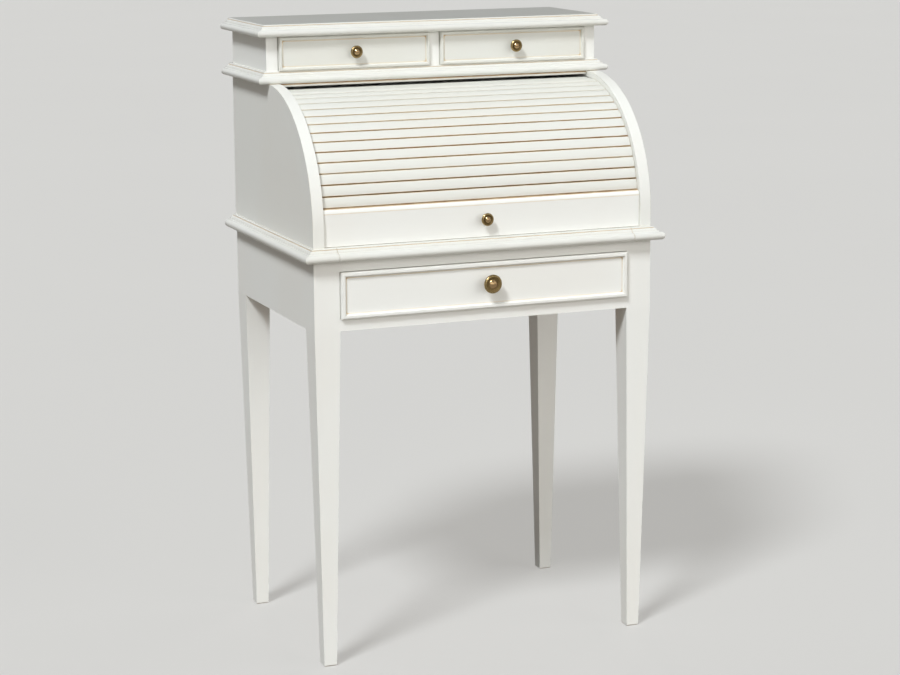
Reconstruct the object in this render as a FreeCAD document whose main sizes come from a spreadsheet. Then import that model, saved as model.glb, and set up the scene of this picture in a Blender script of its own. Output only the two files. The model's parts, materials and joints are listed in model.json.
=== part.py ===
import FreeCAD
import Part
import Sketcher
import math
import os

# Tambour desk in painted wood: tapered leg frame with one wide drawer, a pull-out writing slide, a tambour that
# rolls in a routed track under a cornice, and a gallery of two small drawers.
# Millimetres. +X is the sitter's right, +Y the back, +Z up. The origin is on the floor under the middle of the desk.

SIZES = [
    ("frame_width", 630, "over the outsides of the legs"),
    ("frame_depth", 437, "over the fronts and backs of the legs"),
    ("leg_width", 46, "square leg beside the aprons"),
    ("foot_width", 23, "square foot at the floor"),
    ("foot_ease", 2, "chamfer round the foot"),
    ("knee_height", 595.8, "floor to the underside of the aprons"),
    ("lower_rail_height", 20.5, "rail under the main drawer"),
    ("drawer_opening", 82, "between the two rails"),
    ("upper_rail_height", 18.2, "rail over the main drawer"),
    ("rail_depth", 24, "front to back of each rail"),
    ("apron_thick", 20, "side and back aprons"),
    ("runner_width", 24, "runner under each side of the main drawer"),
    ("desk_top_thick", 23.5, "desk top with its writing slide"),
    ("cornice_thick", 21, "board over the tambour case"),
    ("top_board_thick", 21, "board over the gallery"),
    ("overhang", 20, "moulded edges beyond the frame at the front and sides"),
    ("back_overhang", 9, "boards beyond the frame at the back"),
    ("edge_round", 2, "rounded top edge of the moulding"),
    ("quirk", 0.8, "upright fillet under that edge"),
    ("ovolo_radius", 4.2, "quarter round of the moulding"),
    ("fillet_width", 2.3, "flat ledge under the quarter round"),
    ("cove_radius", 2.2, "hollow over the nose"),
    ("desk_end_width", 60, "fixed strip at each end of the desk top, with its moulding"),
    ("desk_back_depth", 99, "rear edge of the writing slide to the back of the frame"),
    ("slide_travel", 180, "how far the slide pulls out before its tongues meet their stop"),
    ("slide_gap", 0.5, "running clearance round the slide"),
    ("slide_tongue", 7, "tongue on each side of the slide"),
    ("slide_tongue_thick", 8, "height of that tongue"),
    ("case_side_thick", 20, "quadrant sides of the tambour case"),
    ("track_wall", 7, "wood behind the track at the back of those sides"),
    ("quadrant_rise", 25.5, "straight edge under their curved front"),
    ("case_back_thick", 4.5, "back panel behind the case"),
    ("inner_back_thick", 8, "board between papers and tambour"),
    ("inner_back_room", 60, "space behind that board"),
    ("inner_back_height", 130, "height of that board"),
    ("fascia_height", 6, "strip under the cornice"),
    ("fascia_thick", 16, "front to back of that strip"),
    ("slat_recess", 9, "slat faces behind the quadrant edge"),
    ("slat_thick", 9, "slat from back to crown"),
    ("slat_crown", 1.5, "rounding of the slat face"),
    ("tail_thinning", 2.2, "planed off the last slats, which lie under the cornice"),
    ("slat_angle", 5.16, "degrees of the circle taken by one slat"),
    ("slat_gap", 0.8, "between two slats at their backs"),
    ("slat_end_gap", 0.5, "slat shoulders to the case sides"),
    ("slat_tongue", 5.5, "slat end inside the track"),
    ("slat_tongue_thick", 5, "thickness of that end"),
    ("track_clearance", 2, "track wall to slat end on each side"),
    ("track_depth", 6.5, "track routed into the case side"),
    ("track_tightening", 21, "radius lost where the track turns down at the back"),
    ("track_start", -1.5, "degrees, lower end of the track"),
    ("track_end", 182, "degrees, far end of the track"),
    ("cloth_thick", 0.8, "cloth glued behind the slats"),
    ("cloth_margin", 6, "slat shoulder to the edge of the cloth"),
    ("glue_line", 0.1, "between the cloth and the lead rail"),
    ("lead_angle", 10.2, "degrees from the quadrant's centre to the top of the lead rail"),
    ("lead_proud", 4, "lead rail face beyond the slat faces"),
    ("lead_gap", 0.5, "lead rail over the writing slide"),
    ("lead_bead", 9, "bead along the top of the lead rail"),
    ("lead_bead_radius", 9, "rounding of that bead"),
    ("lead_tongue_low", 4, "lower end of the lead rail's tongue"),
    ("lead_tongue_high", 22, "upper end of the lead rail's tongue"),
    ("cornice_reach", 11, "cornice nose before the quadrant's centre"),
    ("gallery_setback", 18.5, "gallery front behind the cornice nose"),
    ("gallery_height", 60.4, "between the cornice and the top board"),
    ("gallery_end_thick", 21, "gallery ends"),
    ("gallery_divider_thick", 18, "board between the small drawers"),
    ("gallery_back_thick", 8, "gallery back"),
    ("drawer_gap", 1, "round a drawer front in its opening"),
    ("main_front_thick", 18, "main drawer front without its moulding"),
    ("main_frame_width", 11, "moulded frame round that front"),
    ("main_frame_proud", 7.5, "moulded frame before the rails"),
    ("main_frame_ease", 2, "rounding of its outer edge"),
    ("main_panel_sink", 4.5, "flat panel under the crest of the frame"),
    ("main_side_thick", 12, "main drawer sides and back"),
    ("main_side_room", 13, "opening over the main drawer sides"),
    ("main_back_room", 17, "main drawer to the back apron"),
    ("small_front_thick", 15, "gallery drawer front without its moulding"),
    ("small_frame_width", 8.5, "moulded frame round that front"),
    ("small_frame_proud", 6.5, "moulded frame before the gallery ends"),
    ("small_frame_ease", 1.5, "rounding of its outer edge"),
    ("small_panel_sink", 3.5, "flat panel under the crest of that frame"),
    ("small_side_thick", 8, "gallery drawer sides and back"),
    ("small_side_room", 10.4, "opening over the gallery drawer sides"),
    ("small_back_room", 12.5, "gallery drawer to the gallery back"),
    ("bottom_thick", 5, "drawer bottoms"),
    ("bottom_raise", 7, "drawer bottom over the lower edge of the sides"),
    ("bottom_groove", 4, "groove that holds a drawer bottom"),
    ("knob_width", 33, "main drawer knob"),
    ("knob_reach", 21, "main drawer knob from its seat"),
    ("knob_base", 15, "foot of that knob"),
    ("knob_neck", 11.5, "neck of that knob"),
    ("knob_boss", 17, "domed centre of that knob"),
    ("small_knob_width", 22.5, "tambour and gallery knobs"),
    ("small_knob_reach", 16, "small knob from its seat"),
    ("small_knob_base", 10.5, "foot of a small knob"),
    ("small_knob_neck", 8, "neck of a small knob"),
    ("small_knob_boss", 12.5, "domed centre of a small knob"),
    ("knob_foot_thick", 2.5, "foot disc of every knob"),
    ("knob_rim", 3, "rounded rim of every knob"),
    ("knob_rise", 2.5, "dome before the rim"),
    ("knob_dish", 1.2, "hollow ring round the dome"),
    ("knob_flare", 16, "radius of the hollow under the rim"),
    ("main_knob_shift", 4.2, "main drawer knob to the right of the middle"),
    ("main_knob_lift", 3.8, "main drawer knob over the middle"),
    ("left_knob_shift", -0.6, "left gallery knob to the right of its drawer's middle"),
    ("right_knob_shift", 2.4, "right gallery knob to the right of its drawer's middle"),
    ("tambour_knob_height", 31.5, "middle of the tambour knob over the desk top"),
]

SLATS_PER_NODE = 2
NODES_PER_GROUP = 2
GROUPS = 4
SIDES = (("left", -1), ("right", 1))

doc = FreeCAD.newDocument("tambour_desk")
sheet = doc.addObject("Spreadsheet::Sheet", "sizes")


class Size:
    """A length with its value and the expression over the sheet's cells that gives it."""

    def __init__(self, value, text):
        self.value = value
        self.text = text

    def __add__(self, other):
        other = as_size(other)
        return Size(self.value + other.value, f"({self.text} + {other.text})")

    def __sub__(self, other):
        other = as_size(other)
        return Size(self.value - other.value, f"({self.text} - {other.text})")

    def __mul__(self, other):
        other = as_size(other)
        return Size(self.value * other.value, f"({self.text} * {other.text})")

    def __truediv__(self, other):
        other = as_size(other)
        return Size(self.value / other.value, f"({self.text} / {other.text})")

    def __neg__(self):
        return Size(-self.value, f"(0 - {self.text})")


def as_size(number):
    return number if isinstance(number, Size) else Size(float(number), repr(float(number)))


def cosine(angle):
    return Size(math.cos(math.radians(angle.value)), f"cos({angle.text})")


def sine(angle):
    return Size(math.sin(math.radians(angle.value)), f"sin({angle.text})")


def write_sheet():
    """Fill the sheet and hand back each cell as a Size under its alias."""
    cells = {}
    for row, (alias, value, note) in enumerate(SIZES, start=1):
        sheet.set(f"A{row}", alias)
        sheet.set(f"B{row}", str(value))
        sheet.set(f"C{row}", note)
        sheet.setAlias(f"B{row}", alias)
        cells[alias] = Size(float(value), f"sizes.{alias}")
    doc.recompute()
    return cells


size = write_sheet()
ZERO = as_size(0)
RADIANS = as_size(math.pi / 180)
finished = {}


def bind(thing, name, length):
    thing.setExpression(name, as_size(length).text)


def place(thing, spot):
    for axis, length in zip("xyz", spot):
        bind(thing, f"Placement.Base.{axis}", length)


def finish(label, thing):
    """Give the object its piece's name and list it among the pieces that are written."""
    thing.Label = label
    finished[label] = thing
    return thing


def block(name, x, y, z):
    """Rectangular piece between two bounds on each axis."""
    thing = doc.addObject("Part::Box", name)
    for side, (low, high) in zip(("Length", "Width", "Height"), (x, y, z)):
        bind(thing, side, as_size(high) - low)
    place(thing, (x[0], y[0], z[0]))
    return thing


def arc_between(start, end, radius, turn):
    """Circle arc from start to end, under a half circle; turn is 1 when it goes anticlockwise, -1 clockwise."""
    chord = end - start
    height = math.sqrt(max(radius ** 2 - chord.Length ** 2 / 4, 0.0))
    left = FreeCAD.Vector(-chord.y, chord.x, 0) / chord.Length
    centre = (start + end) / 2 + left * (height * turn)
    angles = [math.atan2((p - centre).y, (p - centre).x) for p in (start, end)]
    if turn < 0:
        angles.reverse()
    if angles[1] < angles[0]:
        angles[1] += 2 * math.pi
    return Part.ArcOfCircle(Part.Circle(centre, FreeCAD.Vector(0, 0, 1), radius), *angles)


def draw(sketch, outline):
    """Closed outline: each corner is (x, y) or (x, y, radius, turn) when an arc leaves it for the next corner."""
    spots = [FreeCAD.Vector(as_size(c[0]).value, as_size(c[1]).value, 0) for c in outline]
    ends = []
    for index, corner in enumerate(outline):
        start, end = spots[index], spots[(index + 1) % len(spots)]
        if len(corner) == 2:
            edge = sketch.addGeometry(Part.LineSegment(start, end))
            ends.append((edge, 1, 2))
        else:
            radius, turn = as_size(corner[2]), corner[3]
            edge = sketch.addGeometry(arc_between(start, end, radius.value, turn))
            ends.append((edge, 1, 2) if turn > 0 else (edge, 2, 1))
            rule = sketch.addConstraint(Sketcher.Constraint("Radius", edge, radius.value))
            sketch.setExpression(f"Constraints[{rule}]", radius.text)
    for index, corner in enumerate(outline):
        edge, first, _ = ends[index]
        before, _, last = ends[index - 1]
        sketch.addConstraint(Sketcher.Constraint("Coincident", before, last, edge, first))
        for kind, length in zip(("DistanceX", "DistanceY"), corner[:2]):
            length = as_size(length)
            rule = sketch.addConstraint(Sketcher.Constraint(kind, edge, first, length.value))
            sketch.setExpression(f"Constraints[{rule}]", length.text)


def new_sketch(body, plane, outline):
    sketch = body.newObject("Sketcher::SketchObject", "outline")
    support = [f for f in body.Origin.OriginFeatures if f.Role == plane][0]
    sketch.AttachmentSupport = [(support, "")]
    sketch.MapMode = "FlatFace"
    draw(sketch, outline)
    return sketch


PLANES = {"X": ("YZ_Plane", False), "Y": ("XZ_Plane", True), "Z": ("XY_Plane", False)}


def prism(name, along, outline, low, high, spot=(0, 0, 0)):
    """Outline pushed along one axis from low to high, drawn about spot."""
    body = doc.addObject("PartDesign::Body", name)
    plane, flip = PLANES[along]
    pad = body.newObject("PartDesign::Pad", "pad")
    pad.Profile = new_sketch(body, plane, outline)
    pad.Reversed = flip
    bind(pad, "Length", as_size(high) - low)
    place(body, [as_size(s) + (low if axis == along else 0) for axis, s in zip("XYZ", spot)])
    return body


def join(kind, name, base, tool):
    thing = doc.addObject(f"Part::{kind}", name)
    thing.Base = base
    thing.Tool = tool
    return thing


def span(sign, near, far):
    """The same stretch from the middle line, on the left for -1 and on the right for 1."""
    return (near, far) if sign > 0 else (-as_size(far), -as_size(near))


# Main levels and lines of the desk
middle = (size["overhang"] - size["back_overhang"]) / 2
frame_front = middle - size["frame_depth"] / 2
frame_back = middle + size["frame_depth"] / 2
half_width = size["frame_width"] / 2
leg_inside = half_width - size["leg_width"]
opening_low = size["knee_height"] + size["lower_rail_height"]
opening_high = opening_low + size["drawer_opening"]
frame_top = opening_high + size["upper_rail_height"]
desk_level = frame_top + size["desk_top_thick"]
boards_back = frame_back + size["back_overhang"]
case_inside = half_width - size["case_side_thick"]
track_inset = size["slat_recess"] + size["slat_thick"] - size["slat_tongue_thick"] - size["track_clearance"]
quadrant_radius = (size["frame_depth"] + track_inset + size["track_tightening"] - size["track_wall"]) / 2
centre_y = frame_front + quadrant_radius
centre_z = desk_level + size["quadrant_rise"]
case_top = centre_z + quadrant_radius
cornice_front = centre_y - size["cornice_reach"]
gallery_front = cornice_front + size["gallery_setback"]
gallery_floor = case_top + size["cornice_thick"]
gallery_top = gallery_floor + size["gallery_height"]


def make_leg(label, x, y):
    """Square leg that tapers on all four faces from the aprons to an eased foot."""

    def square(body, width, level):
        half = width / 2
        corners = [(-half, -half), (half, -half), (half, half), (-half, half)]
        sketch = new_sketch(body, "XY_Plane", corners)
        bind(sketch, "AttachmentOffset.Base.z", level)
        return sketch

    body = doc.addObject("PartDesign::Body", label)
    foot = square(body, size["foot_width"] - size["foot_ease"] * 2, ZERO)
    ankle = square(body, size["foot_width"], size["foot_ease"])
    knee = square(body, size["leg_width"], size["knee_height"])
    ease = body.newObject("PartDesign::AdditiveLoft", "ease")
    ease.Profile = foot
    ease.Sections = [ankle]
    ease.Ruled = True
    taper = body.newObject("PartDesign::AdditiveLoft", "taper")
    taper.Profile = ankle
    taper.Sections = [knee]
    taper.Ruled = True
    post = body.newObject("PartDesign::Pad", "post")
    post.Profile = knee
    bind(post, "Length", frame_top - size["knee_height"])
    place(body, (x, y, ZERO))
    finish(label, body)


def make_frame():
    """Legs, aprons, the two rails round the main drawer and the runners under it."""
    half_leg = size["leg_width"] / 2
    rows = (("front", frame_front + half_leg), ("back", frame_back - half_leg))
    for row, y in rows:
        for side, sign in SIDES:
            make_leg(f"leg_{row}_{side}", (half_width - half_leg) * sign, y)
    between = (frame_front + size["leg_width"], frame_back - size["leg_width"])
    apron_range = (size["knee_height"], frame_top)
    across = (-leg_inside, leg_inside)
    for side, sign in SIDES:
        label = f"side_apron_{side}"
        finish(label, block(label, span(sign, half_width - size["apron_thick"], half_width), between, apron_range))
    back = (frame_back - size["apron_thick"], frame_back)
    finish("back_apron", block("back_apron", across, back, apron_range))
    front = (frame_front, frame_front + size["rail_depth"])
    finish("drawer_rail_lower", block("drawer_rail_lower", across, front, (size["knee_height"], opening_low)))
    finish("drawer_rail_upper", block("drawer_rail_upper", across, front, (opening_high, frame_top)))
    for side, sign in SIDES:
        label = f"drawer_runner_{side}"
        width = span(sign, leg_inside - size["runner_width"], leg_inside)
        finish(label, block(label, width, (front[1], back[0]), (size["knee_height"], opening_low)))


def moulded_board(name, front, low, thick):
    """Board moulded along its front and both ends, with mitred corners and a plain back edge."""
    edge_round, quirk = size["edge_round"], size["quirk"]
    nose = (thick - edge_round - quirk - size["ovolo_radius"] - size["cove_radius"]) / 2
    cove_out = nose + size["cove_radius"]
    ovolo_out = cove_out + size["fillet_width"]
    quirk_out = ovolo_out + size["ovolo_radius"]
    flat_out = quirk_out + edge_round
    ledge = nose * 2 + size["cove_radius"]

    def edge(at, sign):
        """Moulding from the underside up to the flat top, at an edge whose nose is at the given place."""
        turn = -sign
        return [
            (at + nose * sign, ZERO, nose, turn),
            (at, nose, nose, turn),
            (at + nose * sign, nose * 2, size["cove_radius"], -turn),
            (at + cove_out * sign, ledge),
            (at + ovolo_out * sign, ledge, size["ovolo_radius"], turn),
            (at + quirk_out * sign, thick - edge_round - quirk),
            (at + quirk_out * sign, thick - edge_round, edge_round, turn),
            (at + flat_out * sign, thick),
        ]

    half = half_width + size["overhang"]
    long_section = edge(front, 1) + [(boards_back, thick), (boards_back, ZERO)]
    cross_section = edge(-half, 1) + list(reversed_edge(edge(half, -1)))
    along = prism(f"{name}_front_run", "X", long_section, -half, half, (0, 0, low))
    across = prism(f"{name}_end_run", "Y", cross_section, front, boards_back, (0, 0, low))
    return join("Common", name, along, across)


def reversed_edge(corners):
    """The same corners the other way round, each arc kept between its own two corners."""
    turned = []
    for index in range(len(corners) - 1, -1, -1):
        arc = corners[index - 1][2:] if index else ()
        turned.append(corners[index][:2] + ((arc[0], -arc[1]) if arc else ()))
    return turned


def make_desk_top():
    """Moulded desk top whose middle runs out as a writing slide on tongues in the two end strips."""
    front = frame_front - size["overhang"]
    far = half_width + size["overhang"]
    half = far - size["desk_end_width"]
    slide_back = frame_back - size["desk_back_depth"]
    level = (frame_top, desk_level)
    gap = size["slide_gap"]
    tongue_low = frame_top + (size["desk_top_thick"] - size["slide_tongue_thick"]) / 2
    tongue_high = tongue_low + size["slide_tongue_thick"]
    board = moulded_board("desk_top_board", front, frame_top, size["desk_top_thick"])
    for side, sign in SIDES:
        label = f"desk_top_end_{side}"
        strip = block(f"{label}_part", span(sign, half, far), (front, boards_back), level)
        strip = join("Common", f"{label}_strip", board, strip)
        reach = span(sign, half - gap, half + size["slide_tongue"] + gap)
        groove = block(f"{label}_groove", reach, (front + size["overhang"], slide_back + gap),
                       (tongue_low - gap, tongue_high + gap))
        finish(label, join("Cut", label, strip, groove))
    rear = block("desk_top_back_part", (-half, half), (slide_back + gap, boards_back), level)
    finish("desk_top_back", join("Common", "desk_top_back", board, rear))
    leaf = block("writing_slide_part", (gap - half, half - gap), (front, slide_back), (frame_top + gap, desk_level))
    leaf = join("Common", "writing_slide_leaf", board, leaf)
    reach = half + size["slide_tongue"]
    tongue_front = front + size["overhang"] + size["slide_travel"] + gap
    tongue = block("writing_slide_tongue", (-reach, reach), (tongue_front, slide_back), (tongue_low, tongue_high))
    finish("writing_slide", join("Fuse", "writing_slide", leaf, tongue))


# Radii of the tambour, from the centre of the quadrant
slat_face = quadrant_radius - size["slat_recess"]
slat_back = slat_face - size["slat_thick"]
tongue_face = slat_back + size["slat_tongue_thick"]
slat_width = slat_back * size["slat_angle"] * RADIANS - size["slat_gap"]
shoulder = case_inside - size["slat_end_gap"]
tongue_end = case_inside + size["slat_tongue"]
centre = (ZERO, centre_y, centre_z)


def on_circle(radius, angle, lift=ZERO):
    """Place on a circle about the quadrant's centre: angle 0 is the front, 90 degrees the top."""
    return -(radius * cosine(angle)), radius * sine(angle) + lift


def make_case():
    """Quadrant sides with their routed track, the panels between them and the moulded cornice board."""
    base = -size["quadrant_rise"]
    edge = quadrant_radius
    back = frame_back - centre_y
    side_outline = [
        (-edge, base), (back, base), (back, edge), (ZERO, edge, edge, 1), (-edge, ZERO),
    ]
    outer = tongue_face + size["track_clearance"]
    inner = slat_back - size["track_clearance"]
    drop = size["track_tightening"]
    start, end = size["track_start"], size["track_end"]
    track_outline = [
        on_circle(outer, start) + (outer, -1),
        (ZERO, outer, outer - drop, -1),
        on_circle(outer - drop, end, drop),
        on_circle(inner - drop, end, drop) + (inner - drop, 1),
        (ZERO, inner, inner, 1),
        on_circle(inner, start),
    ]
    for side, sign in SIDES:
        label = f"case_side_{side}"
        panel = prism(f"{label}_panel", "X", side_outline, *span(sign, case_inside, half_width), centre)
        depth = span(sign, case_inside - size["slat_end_gap"], case_inside + size["track_depth"])
        track = prism(f"{label}_track", "X", track_outline, *depth, centre)
        finish(label, join("Cut", label, panel, track))
    rise = (desk_level, case_top)
    case_back = (frame_back, frame_back + size["case_back_thick"])
    finish("case_back", block("case_back", (-half_width, half_width), case_back, rise))
    across = (-case_inside, case_inside)
    inner_back = frame_back - size["inner_back_room"]
    inner_range = (inner_back - size["inner_back_thick"], inner_back)
    inner_rise = (desk_level, desk_level + size["inner_back_height"])
    finish("case_inner_back", block("case_inner_back", across, inner_range, inner_rise))
    fascia = (centre_y, centre_y + size["fascia_thick"])
    finish("case_fascia", block("case_fascia", across, fascia, (case_top - size["fascia_height"], case_top)))
    finish("cornice_board", moulded_board("cornice_board", cornice_front, case_top, size["cornice_thick"]))


def make_gallery():
    """Two bays for the small drawers over the cornice, closed by the moulded top board."""
    deep = (gallery_front, frame_back)
    rise = (gallery_floor, gallery_top)
    inside = half_width - size["gallery_end_thick"]
    for side, sign in SIDES:
        label = f"gallery_end_{side}"
        finish(label, block(label, span(sign, inside, half_width), deep, rise))
    half = size["gallery_divider_thick"] / 2
    back_from = frame_back - size["gallery_back_thick"]
    finish("gallery_divider", block("gallery_divider", (-half, half), (gallery_front, back_from), rise))
    finish("gallery_back", block("gallery_back", (-inside, inside), (back_from, frame_back), rise))
    finish("top_board", moulded_board("top_board", cornice_front, gallery_top, size["top_board_thick"]))


def panelled_front(name, x, face, z, kind):
    """Drawer front with a mitred moulded frame standing proud and a flat panel sunk inside it."""
    thick, proud = size[f"{kind}_front_thick"], size[f"{kind}_frame_proud"]
    width, sink = size[f"{kind}_frame_width"], size[f"{kind}_panel_sink"]
    ease = size[f"{kind}_frame_ease"]
    crest = face - proud
    back = face + thick

    def outside(low, high, depth_first):
        """Section with both outer edges of the frame eased at its crest."""
        turn = 1 if depth_first else -1
        corners = [
            (low, back), (low, crest + ease, ease, turn), (low + ease, crest), (high - ease, crest, ease, turn),
            (high, crest + ease), (high, back),
        ]
        return [turned(c, depth_first) for c in corners]

    def inside(low, high, depth_first):
        """Section of the hollow, from the crest down a quarter round to the panel."""
        turn = 1 if depth_first else -1
        start, end = low + width - sink, high - width + sink
        corners = [
            (start, crest - sink), (start, crest, sink, turn), (start + sink, crest + sink),
            (end - sink, crest + sink, sink, turn), (end, crest), (end, crest - sink),
        ]
        return [turned(c, depth_first) for c in corners]

    upright = prism(f"{name}_upright", "X", outside(z[0], z[1], True), *x)
    level = prism(f"{name}_level", "Z", outside(x[0], x[1], False), *z)
    board = join("Common", f"{name}_board", upright, level)
    hollow_upright = prism(f"{name}_hollow_upright", "X", inside(z[0], z[1], True), *x)
    hollow_level = prism(f"{name}_hollow_level", "Z", inside(x[0], x[1], False), *z)
    hollow = join("Common", f"{name}_hollow", hollow_upright, hollow_level)
    return join("Cut", f"{name}_panelled", board, hollow)


def turned(corner, swap):
    """Corner with its two coordinates exchanged when the section lies in the plane of depth and height."""
    return (corner[1], corner[0]) + tuple(corner[2:]) if swap else tuple(corner)


def make_knob(label, x, seat, z, kind):
    """Turned knob on the front of a drawer or rail: foot, hollow neck, rounded rim and domed centre."""
    reach, half = size[f"{kind}_reach"], size[f"{kind}_width"] / 2
    base, neck, boss = (size[f"{kind}_{part}"] / 2 for part in ("base", "neck", "boss"))
    foot, rim = size["knob_foot_thick"], size["knob_rim"]
    face = reach - size["knob_rise"]
    valley = face - size["knob_dish"]
    rise = reach - valley
    dome = (rise * rise + boss * boss) / (rise * 2)
    profile = [
        (ZERO, ZERO), (-reach, ZERO, dome, -1), (-valley, boss), (-face, half - rim, rim, -1),
        (rim - face, half, size["knob_flare"], 1), (-foot, neck), (-foot, base), (ZERO, base),
    ]
    body = doc.addObject("PartDesign::Body", label)
    turn = body.newObject("PartDesign::Revolution", "turning")
    sketch = new_sketch(body, "YZ_Plane", profile)
    turn.Profile = sketch
    turn.ReferenceAxis = (sketch, ["H_Axis"])
    turn.Angle = 360
    place(body, (x, seat, z))
    finish(label, body)


def make_drawer(name, x, y, z, kind, knob, shift, lift):
    """Drawer box in its opening behind a panelled front: grooved for the bottom, with a turned knob."""
    thick, gap = size[f"{kind}_side_thick"], size["drawer_gap"]
    face = y[0]
    box_front = face + size[f"{kind}_front_thick"]
    box_back = y[1] - size[f"{kind}_back_room"]
    rise = (z[0], z[1] - size[f"{kind}_side_room"])
    x = (x[0] + gap, x[1] - gap)
    z = (z[0], z[1] - gap)
    bottom = (z[0] + size["bottom_raise"], z[0] + size["bottom_raise"] + size["bottom_thick"])
    inside = (x[0] + thick, x[1] - thick)
    groove = size["bottom_groove"]
    hold_x = (inside[0] - groove, inside[1] + groove)
    hold_y = (box_front - groove, box_back)

    def grooved(label, piece):
        slot = block(f"{label}_groove", hold_x, hold_y, bottom)
        finish(label, join("Cut", label, piece, slot))

    grooved(f"{name}_front", panelled_front(f"{name}_front", x, face, z, kind))
    walls = (("left", (x[0], inside[0])), ("right", (inside[1], x[1])))
    for side, wall in walls:
        grooved(f"{name}_side_{side}", block(f"{name}_side_{side}_board", wall, (box_front, box_back), rise))
    back = block(f"{name}_back", inside, (box_back - thick, box_back), (bottom[1], rise[1]))
    finish(f"{name}_back", back)
    finish(f"{name}_bottom", block(f"{name}_bottom", hold_x, hold_y, bottom))
    seat = face - size[f"{kind}_frame_proud"] + size[f"{kind}_panel_sink"]
    make_knob(f"{name}_knob", (x[0] + x[1]) / 2 + shift, seat, (z[0] + z[1]) / 2 + lift, knob)


def make_drawers():
    """Main drawer between the legs and the two small drawers of the gallery."""
    deep = (frame_front, frame_back - size["apron_thick"])
    make_drawer("main_drawer", (-leg_inside, leg_inside), deep, (opening_low, opening_high), "main", "knob",
                size["main_knob_shift"], size["main_knob_lift"])
    near = size["gallery_divider_thick"] / 2
    far = half_width - size["gallery_end_thick"]
    deep = (gallery_front, frame_back - size["gallery_back_thick"])
    for side, sign in SIDES:
        make_drawer(f"gallery_drawer_{side}", span(sign, near, far), deep, (gallery_floor, gallery_top), "small",
                    "small_knob", size[f"{side}_knob_shift"], ZERO)


def make_lead_rail():
    """Lowest member of the tambour: flat face, bead along its top, a tongue at each end and a knob."""
    angle = size["lead_angle"]
    low = size["lead_gap"] - size["quadrant_rise"]
    inner = slat_back / cosine(angle / 2) + size["glue_line"]
    face = slat_face + size["lead_proud"]
    bead_top = on_circle(slat_face, angle)
    outline = [
        (-face, low), (-inner, low), (-inner, ZERO), on_circle(inner, angle),
        bead_top + (size["lead_bead_radius"], 1), (-face, bead_top[1] - size["lead_bead"]),
    ]
    rail = prism("tambour_lead_rail_board", "X", outline, -shoulder, shoulder, centre)
    tongue = block("tambour_lead_rail_tongue", (-tongue_end, tongue_end), (centre_y - tongue_face, centre_y - inner),
                   (centre_z + size["lead_tongue_low"], centre_z + size["lead_tongue_high"]))
    finish("tambour_lead_rail", join("Fuse", "tambour_lead_rail", rail, tongue))
    make_knob("tambour_knob", ZERO, centre_y - face, desk_level + size["tambour_knob_height"], "small_knob")


def make_slats():
    """Crowned slats with a thinner tongue at each end, set round the circle, two to a node; the last two are thinner."""
    half = slat_width / 2
    crown = size["slat_crown"]
    bow = (half * half + crown * crown) / (crown * 2)
    blanks = []
    for label, face in (("slat", slat_face), ("tail_slat", slat_face - size["tail_thinning"])):
        section = [(-slat_back, -half), (-slat_back, half), (crown - face, half, bow, 1), (crown - face, -half)]
        plan = [
            (-tongue_end, -slat_back), (-tongue_end, -tongue_face), (-shoulder, -tongue_face), (-shoulder, -face),
            (shoulder, -face), (shoulder, -tongue_face), (tongue_end, -tongue_face), (tongue_end, -slat_back),
        ]
        run = prism(f"{label}_run", "X", section, -tongue_end, tongue_end)
        blanks.append((run, prism(f"{label}_ends", "Z", plan, -half, half)))
    count = GROUPS * NODES_PER_GROUP
    for node in range(count):
        run, ends = blanks[-1] if node + 1 == count else blanks[0]
        pair = []
        for index in range(node * SLATS_PER_NODE, (node + 1) * SLATS_PER_NODE):
            slat = join("Common", f"slat_{index + 1}", run, ends)
            slat.Placement = FreeCAD.Placement(FreeCAD.Vector(), FreeCAD.Rotation(FreeCAD.Vector(-1, 0, 0), 1))
            bind(slat, "Placement.Rotation.Angle", size["lead_angle"] + size["slat_angle"] * (index + 0.5))
            place(slat, centre)
            pair.append(slat)
        both = doc.addObject("Part::Compound", f"tambour_slats_{node + 1}")
        both.Links = pair
        finish(f"tambour_slats_{node + 1}", both)


def make_cloth():
    """Cloth glued behind each group of slats, the first strip reaching behind the lead rail."""
    edge = shoulder - size["cloth_margin"]
    inner = slat_back - size["cloth_thick"]
    per_group = SLATS_PER_NODE * NODES_PER_GROUP
    slack = size["slat_gap"] / 2 / slat_back / RADIANS
    for group in range(GROUPS):
        start = size["lead_angle"] + size["slat_angle"] * (group * per_group) + slack
        if group == 0:
            start = size["lead_angle"] / 2
        end = size["lead_angle"] + size["slat_angle"] * ((group + 1) * per_group) - slack
        outline = [
            on_circle(slat_back, start) + (slat_back, -1), on_circle(slat_back, end),
            on_circle(inner, end) + (inner, 1), on_circle(inner, start),
        ]
        label = f"tambour_cloth_{group + 1}"
        finish(label, prism(label, "X", outline, -edge, edge, centre))


def write_pieces():
    """Check every object, then write one file for each piece."""
    doc.recompute()
    failed = [o.Label for o in doc.Objects if "Invalid" in o.State or "Error" in o.State]
    failed += [label for label, o in finished.items() if o.Shape.isNull() or not o.Shape.isValid()]
    if failed:
        raise RuntimeError(f"failed: {failed}")
    os.makedirs("parts", exist_ok=True)
    for label, thing in finished.items():
        thing.Shape.exportStep(f"parts/{label}.step")
    print(len(finished), "pieces written")


make_frame()
make_desk_top()
make_case()
make_gallery()
make_drawers()
make_lead_rail()
make_slats()
make_cloth()
write_pieces()
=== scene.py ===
import bpy
import json
import math
from functools import reduce
from mathutils import Matrix, Vector


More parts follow.
